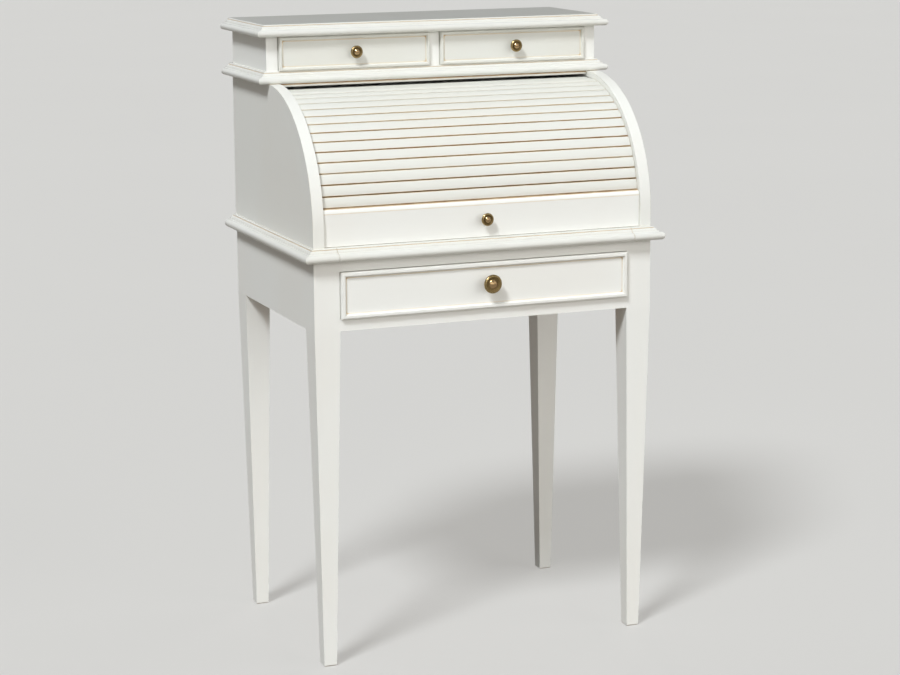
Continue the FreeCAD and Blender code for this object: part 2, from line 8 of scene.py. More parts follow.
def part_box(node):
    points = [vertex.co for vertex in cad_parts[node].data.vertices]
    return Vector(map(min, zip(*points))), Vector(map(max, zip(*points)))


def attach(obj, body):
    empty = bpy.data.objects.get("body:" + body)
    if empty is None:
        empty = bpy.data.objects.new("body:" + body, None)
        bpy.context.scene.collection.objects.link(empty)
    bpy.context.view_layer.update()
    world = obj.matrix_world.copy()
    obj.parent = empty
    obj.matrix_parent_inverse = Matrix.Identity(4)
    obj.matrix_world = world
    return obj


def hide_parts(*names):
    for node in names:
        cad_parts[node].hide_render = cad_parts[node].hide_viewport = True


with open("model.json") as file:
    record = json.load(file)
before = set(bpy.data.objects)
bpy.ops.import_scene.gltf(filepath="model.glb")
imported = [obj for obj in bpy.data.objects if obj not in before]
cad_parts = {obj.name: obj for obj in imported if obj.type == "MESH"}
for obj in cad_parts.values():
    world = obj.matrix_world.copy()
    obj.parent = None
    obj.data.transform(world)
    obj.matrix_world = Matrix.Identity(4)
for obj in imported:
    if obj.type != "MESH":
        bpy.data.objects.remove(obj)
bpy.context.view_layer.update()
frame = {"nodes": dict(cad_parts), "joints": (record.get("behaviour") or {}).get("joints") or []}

# Painted tambour desk: ivory lacquer with tan glaze in its grooves, glaze and painted shade in its
# crevices, darker copies of the paint as painted shade on some pieces, antique brass knobs, bare wood
# inside the drawers and canvas behind the slats. Metres, in the frame of the imported desk.

nodes = frame["nodes"]
joint_places = {joint["name"]: joint.get("pos_m") for joint in frame["joints"]}
quadrant_centre = Vector(joint_places["tambour_roll"])

DRAWERS = ("main_drawer", "gallery_drawer_left", "gallery_drawer_right")
TAMBOUR_BODIES = ("tambour", "tambour_b", "tambour_c", "tambour_d")

# Tambour: radii about the quadrant's centre, and angles in degrees up from its front
SLAT_BACK_RADIUS = 0.213
SLAT_FACE_RADIUS = 0.222
LEAD_ANGLE = 10.2
SLAT_ANGLE = 5.16
SLATS_PER_GROUP = 4
FLAT_SLAT_ANGLES = (52.0, 70.0)

# Mouldings: how far under the top of a piece its groove lies, and the width of a drawer front's frame
BEAD_DROP = 0.0088
QUIRK_DROP = 0.003
MAIN_FRAME_WIDTH = 0.0098
SMALL_FRAME_WIDTH = 0.0076

# Arrises: how far wear reaches from a corner, and how far paint rounds it
ARRIS_REACH = 0.0016
ARRIS_RADIUS = 0.0009

# Distance between the lathe's rings on a knob, and between the threads of the canvas
LATHE_PITCH = 0.00055
THREAD_PITCH = 0.0009

# Canvas strips: measures in metres, and in degrees what is left free at a joint and on the lead rail
CANVAS_THICKNESS = 0.0006
CANVAS_CLEARANCE = 0.00008
CANVAS_SLACK = 0.00008
CANVAS_TRIM = 0.0004
CANVAS_JOINT_GAP = 0.12
CANVAS_LEAD_GAP = 0.05
CANVAS_STEPS_PER_SLAT = 12

# Screws: widths of their heads, heights of the back panel's rows as shares of the panel,
# and how deep the one in the lead rail is let in
PANEL_SCREW = 0.0065
BOTTOM_SCREW = 0.006
KNOB_SCREW = 0.009
PANEL_SCREW_ROWS = (0.08, 0.36, 0.64, 0.92)
LEAD_SCREW_SUNK = 0.001
SCREW_SEED = 7

# Camera at the photograph's place; the lens in millimetres
CAMERA_PLACE = (-1.6124, -4.0626, 1.4063)
CAMERA_AHEAD = (0.3648, 0.90982, -0.19785)
CAMERA_RIGHT = (0.9277, -0.37328, -0.00602)
FOCAL_LENGTH = 97.98
SENSOR_WIDTH = 36
CAMERA_REACH = 200
FLOOR_REACH = 45.0

# Room: strength of its light on the desk and of its backdrop, of its walls, ceiling and floor
# as the gloss shows them, and the tints of its lamps
ROOM_LIGHT = 0.068
BACKDROP_LIGHT = 0.635
WALL_LIGHT = 0.037
CEILING_LIGHT = 0.4
MIRRORED_FLOOR = 0.4
COOL_LIGHT = (0.94, 0.97, 1.0)
WARM_LIGHT = (1.0, 0.985, 0.96)
AMBER_LIGHT = (1.0, 0.98, 0.95)
PLAIN_LIGHT = (1.0, 0.99, 0.97)


def shade(red, green, blue):
    """Paint colour from its screen values, 0 to 255."""
    linear = []
    for channel in (red, green, blue):
        share = channel / 255
        linear.append(share / 12.92 if share <= 0.04045 else ((share + 0.055) / 1.055) ** 2.4)
    return (*linear, 1.0)


# Ivory paint, two tones to a piece. All but the lower tones are darker copies of it, as painted shade.
LOWER_TONES = (shade(243, 244, 240), shade(241, 240, 234))
MOULDED_SHADED_TONES = (shade(227, 228, 223), shade(226, 225, 217))
CASE_SHADED_TONES = (shade(237, 238, 233), shade(235, 234, 227))
SLAT_SHADED_TONES = (shade(226, 227, 221), shade(225, 224, 215))
GALLERY_SHADED_TONES = (shade(226, 227, 221), shade(224, 223, 214))
# Tan glaze; the deep brown is glaze in the grooves and painted shade in the deepest hollows.
TAN_GLAZE = shade(208, 172, 104)
DEEP_GLAZE_AND_SHADE = shade(152, 108, 48)
LACQUER = {"Specular IOR Level": 0.4, "Coat Roughness": 0.2, "Coat IOR": 1.5}

# Brush marks along and across a board, by the axis that the board's length follows, as repeats in a metre
BRUSHING = {"x": (5, 190, 190), "y": (190, 5, 190), "z": (190, 190, 5)}

BEECH = shade(222, 188, 142)
BEECH_LATE = shade(190, 148, 100)
BEECH_FLECK = shade(168, 122, 78)
BEECH_PORE = shade(132, 94, 60)
BRASS = shade(164, 143, 100)
BRASS_BOSS = shade(190, 160, 118)
BRASS_RUBBED = shade(196, 170, 116)
BRASS_TARNISH = shade(116, 96, 62)
SCREW_BRASS = shade(186, 152, 92)
SCREW_DIRT = shade(80, 60, 34)
CANVAS_THREAD = shade(208, 194, 164)
CANVAS_BETWEEN = shade(150, 134, 106)
CANVAS_STAIN = shade(170, 138, 92)
FLOOR_TONES = (shade(214, 213, 210), shade(218, 217, 214))
FLOOR_GLOW = shade(217, 216, 213)
FLOOR_BOUNCE = shade(112, 103, 92)
BACKDROP = shade(250, 249, 246)


class Wire:
    """A socket of a finish's node tree; sums on it add Math nodes."""

    def __init__(self, tree, socket=None):
        self.tree = tree
        self.socket = socket

    def node(self, kind, settings=None, inputs=None, output=0):
        """Add a node, set its settings, then set or link its sockets, and hand back one output."""
        node = self.tree.nodes.new(f"ShaderNode{kind}")
        for key, value in (settings or {}).items():
            setattr(node, key, value)
        for key, value in (inputs or {}).items():
            if isinstance(value, Wire):
                self.tree.links.new(value.socket, node.inputs[key])
            else:
                node.inputs[key].default_value = value
        return None if output is None else Wire(self.tree, node.outputs[output])

    def math(self, operation, *values):
        """Math node on these values."""
        return self.node("Math", {"operation": operation}, dict(enumerate(values)))

    def __add__(self, other):
        return self.math("ADD", self, other)

    def __sub__(self, other):
        return self.math("SUBTRACT", self, other)

    def __rsub__(self, other):
        return self.math("SUBTRACT", other, self)

    def __mul__(self, other):
        return self.math("MULTIPLY", self, other)

    def __truediv__(self, other):
        return self.math("DIVIDE", self, other)

    def __rtruediv__(self, other):
        return self.math("DIVIDE", other, self)

    def __pow__(self, other):
        return self.math("POWER", self, other)

    def __abs__(self):
        return self.math("ABSOLUTE", self)

    __radd__ = __add__
    __rmul__ = __mul__

    def larger(self, other):
        """The larger of two values."""
        return self.math("MAXIMUM", self, other)

    def smaller(self, other):
        """The smaller of two values."""
        return self.math("MINIMUM", self, other)

    def sine(self):
        """Sine of this value."""
        return self.math("SINE", self)

    def ramp(self, low, high):
        """Smooth step from 0 at low to 1 at high; low may be the larger one."""
        inputs = {"Value": self, "From Min": low, "From Max": high}
        return self.node("MapRange", {"interpolation_type": "SMOOTHSTEP"}, inputs)

    def blend(self, first, second):
        """Colour that goes from first to second as this value goes from 0 to 1."""
        return self.node("Mix", {"data_type": "RGBA"}, {0: self, 6: first, 7: second}, 2)

    def bump(self, strength, depth, normal=None):
        """Relief with this value as its height, over a normal of its own where one is given."""
        inputs = {"Strength": strength, "Distance": depth, "Height": self}
        if normal is not None:
            inputs["Normal"] = normal
        return self.node("Bump", None, inputs)

    def noise(self, scale, detail=2.0, roughness=0.5, distortion=0.0):
        """Noise over this vector."""
        inputs = {"Vector": self, "Scale": scale, "Detail": detail}
        inputs.update({"Roughness": roughness, "Distortion": distortion})
        return self.node("TexNoise", None, inputs, "Fac")

    def moved(self, place=(0, 0, 0), scale=(1, 1, 1)):
        """This vector measured from a place and stretched."""
        from_place = self.node("VectorMath", {"operation": "SUBTRACT"}, {0: self, 1: place})
        return self.node("VectorMath", {"operation": "MULTIPLY"}, {0: from_place, 1: scale})

    def axes(self):
        """The three coordinates of this vector."""
        return [self.node("SeparateXYZ", None, {0: self}, axis) for axis in "XYZ"]


def open_finish(name):
    """New material with an empty tree, and the wire from which its nodes are added."""
    finish = bpy.data.materials.new(name)
    finish.use_nodes = True
    finish.node_tree.nodes.clear()
    return finish, Wire(finish.node_tree)


def close_finish(start, constants, **varying):
    """Surface shader with its constant sockets and the ones that change over the surface."""
    inputs = dict(constants)
    inputs.update({key.replace("_", " ").title(): wire for key, wire in varying.items()})
    shader = start.node("BsdfPrincipled", None, inputs)
    start.node("OutputMaterial", None, {"Surface": shader}, None)


def crevices(start, reach, own=False):
    """How deep in a hollow the surface lies, 0 to 1; with own, only in a hollow of its own piece."""
    settings = {"samples": 8, "only_local": own}
    return 1 - start.node("AmbientOcclusion", settings, {"Distance": reach}, "AO")


def arrises(start):
    """How near the surface is to an outward corner of its own piece, 0 to 1."""
    settings = {"samples": 8, "inside": True, "only_local": True}
    return 1 - start.node("AmbientOcclusion", settings, {"Distance": ARRIS_REACH}, "AO")


def lacquer_coat(start, grain, arris, lines=None, tones=LOWER_TONES, own=False):
    """Ivory paint brushed along the grain, glaze and painted shade in the crevices, thin paint on arrises.

    Glaze along a piece's own grooves, and painted shade along a front's top, come from lines, given the
    spot, its patchiness and its crevice. With own, only the piece's own hollows darken, and more than a
    joint does.
    """
    spot = start.node("TexCoord", output="Object")
    streaks = spot.moved(scale=BRUSHING[grain]).noise(1.0, 3.0, 0.6)
    cloud = spot.noise(5.0, 2.0)
    patchy = spot.noise(34.0, 3.0, 0.6)
    # Glaze and painted shade in hollows and joints, heavier the more enclosed the spot.
    reach, held = (0.006, 0.9) if own else (0.003, 0.4)
    crevice = crevices(start, reach, own)
    glaze_and_shade = crevice.ramp(0.36, 0.7) * (0.5 + patchy * 0.5) * held
    if lines is not None:
        glaze_and_shade = glaze_and_shade.larger(lines(spot, patchy, crevice))
    thin_paint = arrises(start).ramp(0.24, 0.5) * patchy.ramp(0.46, 0.68) * arris
    paint = (cloud.ramp(0.35, 0.7) * 0.55 + streaks * 0.25).blend(*tones)
    paint = thin_paint.blend(paint, TAN_GLAZE)
    # Tan turns deep brown where the mark is heaviest: glaze, with painted shade in the deepest hollows.
    deep = glaze_and_shade.ramp(0.55, 1.0).blend(TAN_GLAZE, DEEP_GLAZE_AND_SHADE)
    paint = glaze_and_shade.smaller(0.92).blend(paint, deep)
    rough = 0.36 + patchy * 0.12 + glaze_and_shade * 0.18
    height = streaks * 0.6 + spot.noise(420.0, 2.0) * 0.4
    eased = start.node("Bevel", {"samples": 4}, {"Radius": ARRIS_RADIUS}) if arris else None
    return paint, rough, height.bump(0.05, 0.0004, eased)


def ivory_lacquer(name, grain, arris=0.0, lines=None, tones=LOWER_TONES, polish=0.15):
    """Painted finish of the outside pieces, rubbed smoother with more polish."""
    finish, start = open_finish(name)
    paint, rough, relief = lacquer_coat(start, grain, arris, lines, tones)
    constants = {**LACQUER, "Coat Weight": polish}
    close_finish(start, constants, base_color=paint, roughness=rough, normal=relief)
    return finish


def wood_grain(start, grain):
    """Plain sealed beech: soft growth bands, short flecks and fine pores along the grain."""
    spot = start.node("TexCoord", output="Object")

    def along_grain(repeat):
        return spot.moved(scale=[axis * repeat for axis in BRUSHING[grain]])

    bands = along_grain(0.14).noise(1.0, 3.0, 0.55, 0.6)
    flecks = along_grain(2.2).noise(1.0, 2.0)
    pores = along_grain(7.0).noise(1.0, 2.0)
    tone = bands.ramp(0.32, 0.68).blend(BEECH, BEECH_LATE)
    tone = (flecks.ramp(0.58, 0.72) * 0.45).blend(tone, BEECH_FLECK)
    tone = (pores.ramp(0.62, 0.74) * 0.3).blend(tone, BEECH_PORE)
    rough = 0.52 + bands * 0.16
    return tone, rough, (1 - pores.ramp(0.55, 0.75)).bump(0.25, 0.0003)


def bare_wood(name, grain):
    """Sealed wood of the hidden pieces."""
    finish, start = open_finish(name)
    tone, rough, relief = wood_grain(start, grain)
    close_finish(start, {"Specular IOR Level": 0.35}, base_color=tone, roughness=rough, normal=relief)
    return finish


def painted_front(front, frame_width, tones):
    """Drawer front: lacquer on its face and edges, bare wood on the side that faces into the drawer."""
    finish, start = open_finish(f"ivory_lacquer_{front}")
    lines = frame_lines(front, frame_width)
    paint, paint_rough, paint_relief = lacquer_coat(start, "x", 0.4, lines, tones, True)
    tone, wood_rough, wood_relief = wood_grain(start, "x")
    inward = start.node("TexCoord", output="Normal").axes()[1].ramp(0.5, 0.6)
    colour = inward.blend(paint, tone)
    rough = paint_rough * (1 - inward) + wood_rough * inward
    reliefs = {0: inward, 4: paint_relief, 5: wood_relief}
    relief = start.node("Mix", {"data_type": "VECTOR"}, reliefs, 1)
    close_finish(start, LACQUER, base_color=colour, roughness=rough, normal=relief)
    return finish


def frame_lines(front, frame_width):
    """Glaze along the inner edge of a front's moulded frame, thickest in the corners, and painted shade
    along the top.
    """
    low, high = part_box(front)
    middle = (low + high) / 2
    half = (high - low) / 2

    def lines(spot, patchy, crevice):
        across, _, up = spot.moved(middle).axes()
        beside = abs(across) - (half.x - frame_width)
        above = abs(up) - (half.z - frame_width)
        from_edge = abs(beside.larger(above))
        corner = beside.smaller(above).ramp(-0.006, -0.001)
        # Painted shade along the top edge, under the frame's downward-facing step.
        painted_shade_under_top = up.ramp(half.z * 0.3, half.z * 0.7)
        held = 0.12 + patchy * 0.3 + corner * 0.4 + painted_shade_under_top * 0.12
        return from_edge.ramp(0.0015, 0.0005) * held

    return lines


def slat_lines(spot, patchy, crevice):
    """Glaze that has run into the joints between the slats, less of it where they lie flat at the top."""
    _, back, up = spot.moved(quadrant_centre).axes()
    turn = up.math("ARCTAN2", up, 0 - back) * (180 / math.pi)
    step = (turn - LEAD_ANGLE) / SLAT_ANGLE
    joint = step.math("ROUND", step)
    from_joint = abs(step - joint) * (math.radians(SLAT_ANGLE) * SLAT_FACE_RADIUS)
    wander = 0.0009 + patchy * 0.0006
    fading = 1 - turn.ramp(*FLAT_SLAT_ANGLES) * 0.9
    heavier = joint.node("TexWhiteNoise", {"noise_dimensions": "1D"}, {"W": joint + 0.5}, "Value")
    held = 0.34 + patchy * 0.34 + heavier * 0.36
    return (from_joint / wander).ramp(1.7, 0.85) * held * fading


def bead_line(spot, patchy, crevice):
    """Glaze in a thin line under the lead rail's bead, and in a heavy one where the first slat starts."""
    below_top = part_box("tambour_lead_rail")[1].z - spot.axes()[2]
    under_bead = abs(below_top - BEAD_DROP).ramp(0.0012, 0.0003) * (0.2 + patchy * 0.35)
    over_bead = below_top.ramp(0.002, 0.0009) * (0.65 + patchy * 0.4)
    return under_bead.larger(over_bead)


def fascia_line(spot, patchy, crevice):
    """Painted shade along the top of the strip, right under the cornice, with glaze in the joint."""
    below_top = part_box("case_fascia")[1].z - spot.axes()[2]
    return below_top.ramp(0.0038, 0.002) * (0.65 + patchy * 0.5)


def quirk_lines(spot, patchy, crevice):
    """Glaze left along the quirk of the moulded boards."""
    height = spot.axes()[2]
    held = crevice.ramp(0.06, 0.24) * (0.55 + patchy * 0.4)
    boards = ("desk_top_end_left", "cornice_board", "top_board")
    from_quirks = [abs(height - (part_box(board)[1].z - QUIRK_DROP)) for board in boards]
    return reduce(Wire.smaller, from_quirks).ramp(0.0013, 0.0006) * held


def turned_brass(knob):
    """Antique brass of a turned knob, tarnished in its hollows, with fine rings from the lathe."""
    low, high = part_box(knob)
    wide = (high.x - low.x) / 2
    finish, start = open_finish(f"antique_brass_{knob}")
    spot = start.node("TexCoord", output="Object").moved((low + high) / 2)
    across, _, up = spot.axes()
    radius = (across * across + up * up) ** 0.5
    rings = (radius * (2 * math.pi / LATHE_PITCH)).sine()
    patchy = spot.noise(420.0, 3.0, 0.6)
    crevice = crevices(start, 0.005).ramp(0.05, 0.55)
    hollow = radius.ramp(wide * 0.46, wide * 0.56) * radius.ramp(wide * 0.88, wide * 0.76)
    tarnish = (crevice * 0.8 + patchy.ramp(0.4, 0.75) * 0.3 + hollow * 0.6).ramp(0.0, 1.0)
    boss = radius.ramp(wide * 0.5, wide * 0.42)
    metal = tarnish.blend(boss.blend(BRASS, BRASS_BOSS), BRASS_TARNISH)
    metal = (arrises(start).ramp(0.25, 0.5) * 0.3).blend(metal, BRASS_RUBBED)
    rough = 0.26 + tarnish * 0.3 - boss * 0.06
    relief = (rings * 0.5 + patchy).bump(0.12, 0.0001)
    close_finish(start, {"Metallic": 1.0}, base_color=metal, roughness=rough, normal=relief)
    return finish


def screw_brass(name):
    """Plain brass of the small screws."""
    finish, start = open_finish(name)
    scuffs = start.node("TexCoord", output="Object").noise(900.0, 3.0, 0.6)
    metal = (crevices(start, 0.002).ramp(0.1, 0.6) * 0.8).blend(SCREW_BRASS, SCREW_DIRT)
    rough = 0.3 + scuffs * 0.2
    relief = scuffs.bump(0.1, 0.0001)
    close_finish(start, {"Metallic": 1.0}, base_color=metal, roughness=rough, normal=relief)
    return finish


def canvas_weave(name):
    """Unbleached canvas: warp and weft threads that pass over and under each other."""
    finish, start = open_finish(name)
    threads = start.node("UVMap", {"uv_map": "UVMap"}).moved(scale=(math.pi / THREAD_PITCH,) * 3)
    along, across, _ = threads.axes()
    warp = along.sine()
    weft = across.sine()
    over = (warp * weft).ramp(-0.08, 0.08)
    height = abs(warp) * over + abs(weft) * (1 - over)
    spot = start.node("TexCoord", output="Object")
    slub = spot.moved(scale=(30, 900, 900)).noise(1.0, 2.0)
    tone = (height * 0.7 + slub * 0.4).blend(CANVAS_BETWEEN, CANVAS_THREAD)
    tone = (spot.noise(14.0, 3.0).ramp(0.5, 0.75) * 0.3).blend(tone, CANVAS_STAIN)
    rough = 0.82 + height * 0.1
    relief = (height + slub * 0.3).bump(0.8, 0.0004)
    close_finish(start, {"Sheen Weight": 0.15}, base_color=tone, roughness=rough, normal=relief)
    return finish


def paint_nodes():
    """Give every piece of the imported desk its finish, by how the piece's name starts."""
    plain_along = {"x": ("drawer_rail", "back_apron", "case_back", "gallery_back"),
                   "y": ("side_apron", "gallery_end", "gallery_divider"),
                   "z": ("leg_",)}
    moulded_along = {"x": ("writing_slide", "desk_top_back", "cornice_board", "top_board"),
                     "y": ("desk_top_end",)}
    ends = [f"{drawer}_{piece}" for drawer in DRAWERS for piece in ("back", "bottom")]
    sides = [f"{drawer}_side" for drawer in DRAWERS]
    wood_along = {"x": ("case_inner_back", *ends), "y": ("drawer_runner", *sides)}
    finishes = {}
    for grain, starts in plain_along.items():
        finishes[starts] = ivory_lacquer(f"ivory_lacquer_{grain}", grain)
    # The moulded boards take a darker copy of the paint, as painted shade.
    for grain, starts in moulded_along.items():
        name = f"ivory_lacquer_moulded_{grain}"
        finishes[starts] = ivory_lacquer(name, grain, 0.3, quirk_lines, MOULDED_SHADED_TONES, 0.8)
    for grain, starts in wood_along.items():
        finishes[starts] = bare_wood(f"bare_beech_{grain}", grain)
    finishes["main_drawer_front"] = painted_front("main_drawer_front", MAIN_FRAME_WIDTH, LOWER_TONES)
    # Gallery fronts, case sides and slats take darker copies of the paint too, as painted shade.
    for front in ("gallery_drawer_left_front", "gallery_drawer_right_front"):
        finishes[front] = painted_front(front, SMALL_FRAME_WIDTH, GALLERY_SHADED_TONES)
    finishes["case_side"] = ivory_lacquer("ivory_lacquer_case_sides", "y", 0.3, None, CASE_SHADED_TONES)
    finishes["tambour_slats"] = ivory_lacquer("ivory_lacquer_slats", "x", 0.2, slat_lines, SLAT_SHADED_TONES)
    finishes["tambour_lead_rail"] = ivory_lacquer("ivory_lacquer_lead_rail", "x", 0.3, bead_line)
    finishes["case_fascia"] = ivory_lacquer("ivory_lacquer_fascia", "x", 0.3, fascia_line)
    for name in nodes:
        if name.endswith("_knob"):
            finishes[name] = turned_brass(name)
    for name, piece in nodes.items():
        for starts, finish in finishes.items():
            if name.startswith(starts):
                piece.data.materials.clear()
                piece.data.materials.append(finish)


class Rule:
    """A geometry tree: adds nodes, and gives each size a named input."""

    def __init__(self, name, sizes):
        self.tree = bpy.data.node_groups.new(name, "GeometryNodeTree")
        face = self.tree.interface
        face.new_socket("Geometry", in_out="INPUT", socket_type="NodeSocketGeometry")
        for size in sizes:
            face.new_socket(size, in_out="INPUT", socket_type="NodeSocketFloat")
        face.new_socket("Geometry", in_out="OUTPUT", socket_type="NodeSocketGeometry")
        self.given = self.tree.nodes.new("NodeGroupInput").outputs

    def node(self, kind, settings=None, inputs=None, output=0):
        """Add a node, set its settings, then set or link its sockets, and hand back one output."""
        node = self.tree.nodes.new(kind)
        for key, value in (settings or {}).items():
            setattr(node, key, value)
        for key, value in (inputs or {}).items():
            if isinstance(value, bpy.types.NodeSocket):
                self.tree.links.new(value, node.inputs[key])
            else:
                node.inputs[key].default_value = value
        return None if output is None else node.outputs[output]

    def sum(self, operation, *values):
        """Math node on these values."""
        return self.node("ShaderNodeMath", {"operation": operation}, dict(enumerate(values)))

    def join(self, *parts):
        """The parts as one geometry."""
        joined = self.tree.nodes.new("GeometryNodeJoinGeometry")
        for part in parts:
            self.tree.links.new(part, joined.inputs[0])
        return joined.outputs[0]

    def close(self, geometry, finish):
        """End the tree with real geometry in one finish."""
        solid = self.node("GeometryNodeRealizeInstances", None, {"Geometry": geometry})
        painted = self.node("GeometryNodeSetMaterial", None, {"Geometry": solid, "Material": finish})
        self.node("NodeGroupOutput", None, {"Geometry": painted}, None)

    def grow(self, name, mesh, values):
        """Plain mesh object that the tree makes from a mesh, with these values for its sizes."""
        seed = bpy.data.objects.new(f"{name}_seed", mesh)
        bpy.context.scene.collection.objects.link(seed)
        modifier = seed.modifiers.new("rule", "NODES")
        modifier.node_group = self.tree
        for item in self.tree.interface.items_tree:
            if item.in_out == "INPUT" and item.name in values:
                modifier[item.identifier] = values[item.name]
        shown = bpy.context.evaluated_depsgraph_get()
        grown = bpy.data.meshes.new_from_object(seed.evaluated_get(shown), depsgraph=shown)
        seed.modifiers.remove(modifier)
        bpy.data.objects.remove(seed)
        grown.name = name
        piece = bpy.data.objects.new(name, grown)
        bpy.context.scene.collection.objects.link(piece)
        return piece


def canvas_rule(finish):
    """Strip of canvas bent round the backs of the slats, with a little slack once in every slat."""
    rule = Rule("canvas behind slats", ("Width", "Radius", "Start", "End", "Thickness", "Slack", "Pitch"))
    given = rule.given
    counts = {"Vertices X": 12, "Vertices Y": SLATS_PER_GROUP * CANVAS_STEPS_PER_SLAT + 1}
    grid, spread = rule.node("GeometryNodeMeshGrid", None, counts, slice(0, 2))
    across, along = rule.node("ShaderNodeSeparateXYZ", None, {0: spread}, slice(0, 2))
    side = rule.sum("MULTIPLY", rule.sum("SUBTRACT", across, 0.5), given["Width"])
    reach = rule.sum("SUBTRACT", given["End"], given["Start"])
    turned = rule.sum("MULTIPLY", along, reach)
    turn = rule.sum("ADD", given["Start"], turned)
    run = rule.sum("MULTIPLY", turned, given["Radius"])
    flat = rule.node("ShaderNodeCombineXYZ", None, {"X": side, "Y": run})
    marked = rule.node("GeometryNodeStoreNamedAttribute", {"data_type": "FLOAT2", "domain": "CORNER"},
                       {"Geometry": grid, "Name": "UVMap", "Value": flat})
    wave = rule.sum("COSINE", rule.sum("DIVIDE", rule.sum("MULTIPLY", turn, 2 * math.pi), given["Pitch"]))
    dip = rule.sum("MULTIPLY", rule.sum("MULTIPLY", rule.sum("ADD", wave, 1.0), 0.5), given["Slack"])
    radius = rule.sum("SUBTRACT", given["Radius"], dip)
    back = rule.sum("MULTIPLY", rule.sum("MULTIPLY", rule.sum("COSINE", turn), radius), -1.0)
    up = rule.sum("MULTIPLY", rule.sum("SINE", turn), radius)
    bent = rule.node("ShaderNodeCombineXYZ", None, {"X": side, "Y": back, "Z": up})
    place = rule.node("ShaderNodeVectorMath", {"operation": "ADD"}, {0: bent, 1: quadrant_centre})
    sheet = rule.node("GeometryNodeSetPosition", None, {"Geometry": marked, "Position": place})
    thick = rule.node("GeometryNodeExtrudeMesh", None,
                      {"Mesh": sheet, "Offset Scale": given["Thickness"], "Individual": False})
    under = rule.node("GeometryNodeFlipFaces", None, {"Mesh": sheet})
    both = rule.join(under, thick)
    welded = rule.node("GeometryNodeMergeByDistance", None, {"Geometry": both, "Distance": 0.00001})
    smooth = rule.node("GeometryNodeSetShadeSmooth", None, {"Geometry": welded, "Shade Smooth": True})
    rule.close(smooth, finish)
    return rule


def hang_canvas():
    """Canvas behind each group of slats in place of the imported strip."""
    rule = canvas_rule(canvas_weave("unbleached_canvas"))
    group_angle = SLAT_ANGLE * SLATS_PER_GROUP
    for group, body in enumerate(TAMBOUR_BODIES):
        node = f"tambour_cloth_{group + 1}"
        low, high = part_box(node)
        first = LEAD_ANGLE + group_angle * group
        start = math.radians(first + CANVAS_JOINT_GAP if group else LEAD_ANGLE / 2 + CANVAS_LEAD_GAP)
        end = math.radians(first + group_angle - CANVAS_JOINT_GAP)
        values = {"Width": high.x - low.x - CANVAS_TRIM, "Radius": SLAT_BACK_RADIUS - CANVAS_CLEARANCE,
                  "Start": start, "End": end, "Thickness": CANVAS_THICKNESS, "Slack": CANVAS_SLACK,
                  "Pitch": math.radians(SLAT_ANGLE)}
        strip = rule.grow(f"canvas_{group + 1}", bpy.data.meshes.new("canvas_seed"), values)
        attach(strip, body)
        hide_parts(node)


def screw_rule(finish):
    """Slotted domed screw heads, one at each point of the given mesh and turned to face outwards there."""
    rule = Rule("slotted screws", ("Head", "Height", "Slot"))
    given = rule.given
    radius = rule.sum("DIVIDE", given["Head"], 2.0)
    ball = rule.node("GeometryNodeMeshUVSphere", None, {"Segments": 24, "Rings": 12, "Radius": 1.0})
    squat = rule.node("ShaderNodeCombineXYZ", None, {"X": radius, "Y": radius, "Z": given["Height"]})
    head = rule.node("GeometryNodeTransform", None, {"Geometry": ball, "Scale": squat})
    long = rule.sum("MULTIPLY", given["Head"], 2.0)
    deep = rule.node("ShaderNodeCombineXYZ", None, {"X": long, "Y": given["Slot"], "Z": given["Height"]})
    cutter = rule.node("GeometryNodeMeshCube", None, {"Size": deep})
    lift = rule.node("ShaderNodeCombineXYZ", None, {"Z": given["Height"]})
    cutter = rule.node("GeometryNodeTransform", None, {"Geometry": cutter, "Translation": lift})
    slotted = rule.node("GeometryNodeMeshBoolean", {"operation": "DIFFERENCE"},
                        {"Mesh 1": head, "Mesh 2": cutter})
    facing = rule.node("GeometryNodeInputNamedAttribute", {"data_type": "FLOAT_VECTOR"}, {"Name": "facing"})
    turn = rule.node("FunctionNodeAlignRotationToVector", {"axis": "Z"}, {"Vector": facing})
    index = rule.node("GeometryNodeInputIndex")
    spin = rule.node("FunctionNodeRandomValue", {"data_type": "FLOAT"},
                     {2: 0.0, 3: 3.1, "ID": index, "Seed": SCREW_SEED}, 1)
    twist = rule.node("FunctionNodeAxisAngleToRotation", None, {"Axis": (0.0, 0.0, 1.0), "Angle": spin})
    turn = rule.node("FunctionNodeRotateRotation", {"rotation_space": "LOCAL"},
                     {"Rotation": turn, "Rotate By": twist})
    heads = rule.node("GeometryNodeInstanceOnPoints", None,
                      {"Points": given["Geometry"], "Instance": slotted, "Rotation": turn})
    rule.close(heads, finish)
    return rule


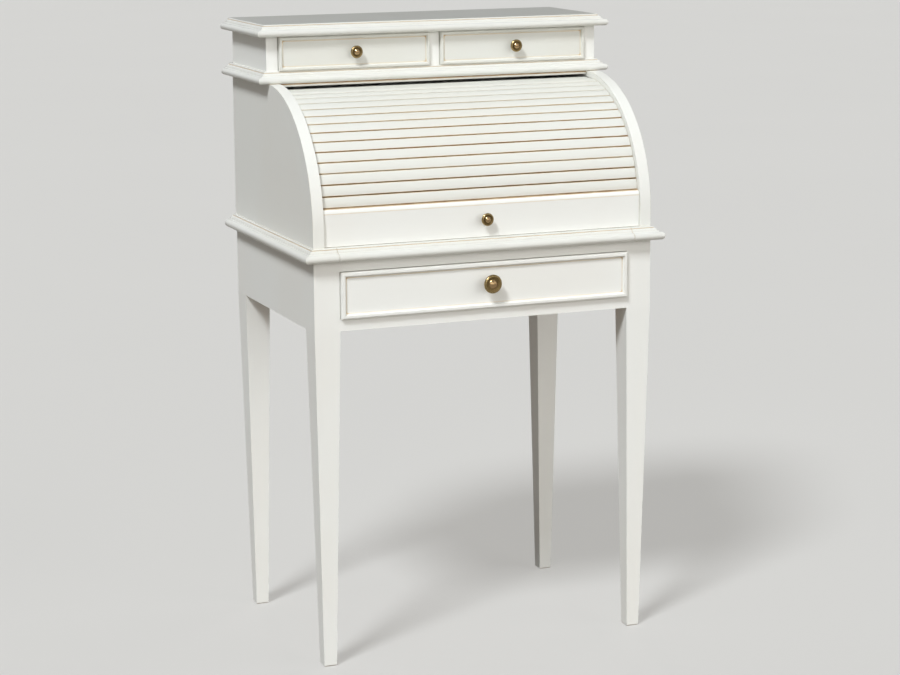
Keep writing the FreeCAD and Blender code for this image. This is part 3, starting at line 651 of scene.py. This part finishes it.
def screw_places():
    """Where screws show on each body, each with its place, the way it faces and the width of its head.

    They run down both sides of the back panel, under the drawer bottoms and behind each knob.
    """
    backwards = (0, 1, 0)
    downwards = (0, 0, -1)
    low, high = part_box("case_back")
    side_low, side_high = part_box("case_side_right")
    inset = (side_low.x + side_high.x) / 2
    rows = [low.z + (high.z - low.z) * share for share in PANEL_SCREW_ROWS]
    panel = [((side * inset, high.y, row), backwards, PANEL_SCREW) for side in (-1, 1) for row in rows]
    places = {"desk": panel}
    for drawer in DRAWERS:
        back_low, back_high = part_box(f"{drawer}_back")
        bottom_low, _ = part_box(f"{drawer}_bottom")
        middle = (back_low.y + back_high.y) / 2
        wide = back_high.x - back_low.x
        count = 3 if drawer == "main_drawer" else 2
        spots = [back_low.x + wide * (index + 0.5) / count for index in range(count)]
        places[drawer] = [((x, middle, bottom_low.z), downwards, BOTTOM_SCREW) for x in spots]
    seats = {drawer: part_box(f"{drawer}_front")[1].y for drawer in DRAWERS}
    seats["tambour"] = quadrant_centre.y - SLAT_BACK_RADIUS - LEAD_SCREW_SUNK
    for body, back in seats.items():
        knob_low, knob_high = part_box(f"{body}_knob")
        middle = (knob_low + knob_high) / 2
        places.setdefault(body, []).append(((middle.x, back, middle.z), backwards, KNOB_SCREW))
    return places


def set_screws():
    """Brass screws on every body that has them."""
    rule = screw_rule(screw_brass("screw_brass"))
    for body, places in screw_places().items():
        for width in sorted({head for _, _, head in places}):
            chosen = [(spot, facing) for spot, facing, head in places if head == width]
            mesh = bpy.data.meshes.new("screw_spots")
            mesh.from_pydata([spot for spot, _ in chosen], [], [])
            marks = mesh.attributes.new("facing", "FLOAT_VECTOR", "POINT")
            for mark, (_, facing) in zip(marks.data, chosen):
                mark.vector = facing
            values = {"Head": width, "Height": width * 0.22, "Slot": width * 0.14}
            screws = rule.grow(f"{body}_screws_{round(width * 10000)}", mesh, values)
            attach(screws, body)


def seen_directly(start):
    """1 for what the camera sees itself, less for what it sees in gloss or glass, 0 for other light."""
    gloss = start.node("LightPath", output="Is Glossy Ray")
    through = start.node("LightPath", output="Is Transmission Ray")
    mirrored = (gloss + through).smaller(1.0)
    return start.node("LightPath", output="Is Camera Ray") + mirrored * MIRRORED_FLOOR


def lay_floor():
    """Plain pale floor that runs out of view."""
    finish, start = open_finish("pale_floor")
    spot = start.node("TexCoord", output="Object")
    seen = seen_directly(start)
    pale = spot.noise(0.8, 2.0).blend(*FLOOR_TONES)
    matt = start.node("BsdfDiffuse", None, {"Color": seen.blend(FLOOR_BOUNCE, pale)})
    glow = start.node("Emission", None, {"Color": FLOOR_GLOW, "Strength": 1.0})
    mixed = start.node("MixShader", None, {0: seen * 0.5, 1: matt, 2: glow})
    start.node("OutputMaterial", None, {"Surface": mixed}, None)
    mesh = bpy.data.meshes.new("floor")
    corners = [(x * FLOOR_REACH, y * FLOOR_REACH, 0) for x, y in ((-1, -1), (1, -1), (1, 1), (-1, 1))]
    mesh.from_pydata(corners, [], [(0, 1, 2, 3)])
    mesh.materials.append(finish)
    floor = bpy.data.objects.new("floor", mesh)
    bpy.context.scene.collection.objects.link(floor)


def hang_lamp(name, azimuth, elevation, strength, spread, tint, mirrored=True):
    """Distant lamp: azimuth 0 is straight in front of the desk, positive towards its right.

    A lamp that isn't mirrored lights the desk and doesn't show in its gloss.
    """
    lamp = bpy.data.lights.new(name, "SUN")
    lamp.energy = strength
    lamp.angle = math.radians(spread)
    lamp.color = tint
    holder = bpy.data.objects.new(name, lamp)
    holder.visible_glossy = mirrored
    bpy.context.scene.collection.objects.link(holder)
    turn = math.radians(azimuth)
    rise = math.radians(elevation)
    towards = Vector((math.sin(turn) * math.cos(rise), -math.cos(turn) * math.cos(rise), math.sin(rise)))
    holder.rotation_euler = towards.to_track_quat("Z", "Y").to_euler()


def light_room():
    """Weak light from all round, a key from the upper left, three low fills and three lamps behind."""
    world = bpy.data.worlds.new("room")
    world.use_nodes = True
    world.node_tree.nodes.clear()
    start = Wire(world.node_tree)
    seen = start.node("LightPath", output="Is Camera Ray")
    mirrored = start.node("LightPath", output="Is Glossy Ray")
    overhead = start.node("TexCoord", output="Generated").axes()[2].ramp(0.52, 0.68)
    strength = ROOM_LIGHT + seen * BACKDROP_LIGHT + mirrored * (WALL_LIGHT + overhead * CEILING_LIGHT)
    backdrop = start.node("Background", None, {"Color": BACKDROP, "Strength": strength})
    start.node("OutputWorld", None, {"Surface": backdrop}, None)
    bpy.context.scene.world = world
    hang_lamp("key_lamp", -50, 48, 2.64, 14, COOL_LIGHT)
    hang_lamp("right_fill_lamp", 42, 8, 0.6, 60, WARM_LIGHT)
    hang_lamp("right_soft_lamp", 42, 8, 1.04, 60, WARM_LIGHT, False)
    hang_lamp("left_fill_lamp", -14, 4, 1.12, 60, WARM_LIGHT)
    hang_lamp("right_rear_lamp", 110, 24, 0.4, 40, AMBER_LIGHT)
    hang_lamp("left_rear_lamp", -161, 20, 0.5, 60, PLAIN_LIGHT)
    hang_lamp("back_lamp", 170, 2, 1.3, 3, PLAIN_LIGHT)


def set_camera():
    """Camera at the photograph's place, turned the same way."""
    lens = bpy.data.cameras.new("camera")
    lens.sensor_width = SENSOR_WIDTH
    lens.lens = FOCAL_LENGTH
    lens.clip_end = CAMERA_REACH
    camera = bpy.data.objects.new("camera", lens)
    bpy.context.scene.collection.objects.link(camera)
    ahead = Vector(CAMERA_AHEAD).normalized()
    right = Vector(CAMERA_RIGHT)
    right = (right - ahead * right.dot(ahead)).normalized()
    above = right.cross(ahead)
    turn = Matrix((right, above, -ahead)).transposed()
    camera.matrix_world = Matrix.Translation(CAMERA_PLACE) @ turn.to_4x4()
    bpy.context.scene.camera = camera


set_camera()
paint_nodes()
hang_canvas()
set_screws()
lay_floor()
light_room()
bpy.context.scene.view_settings.view_transform = "Standard"
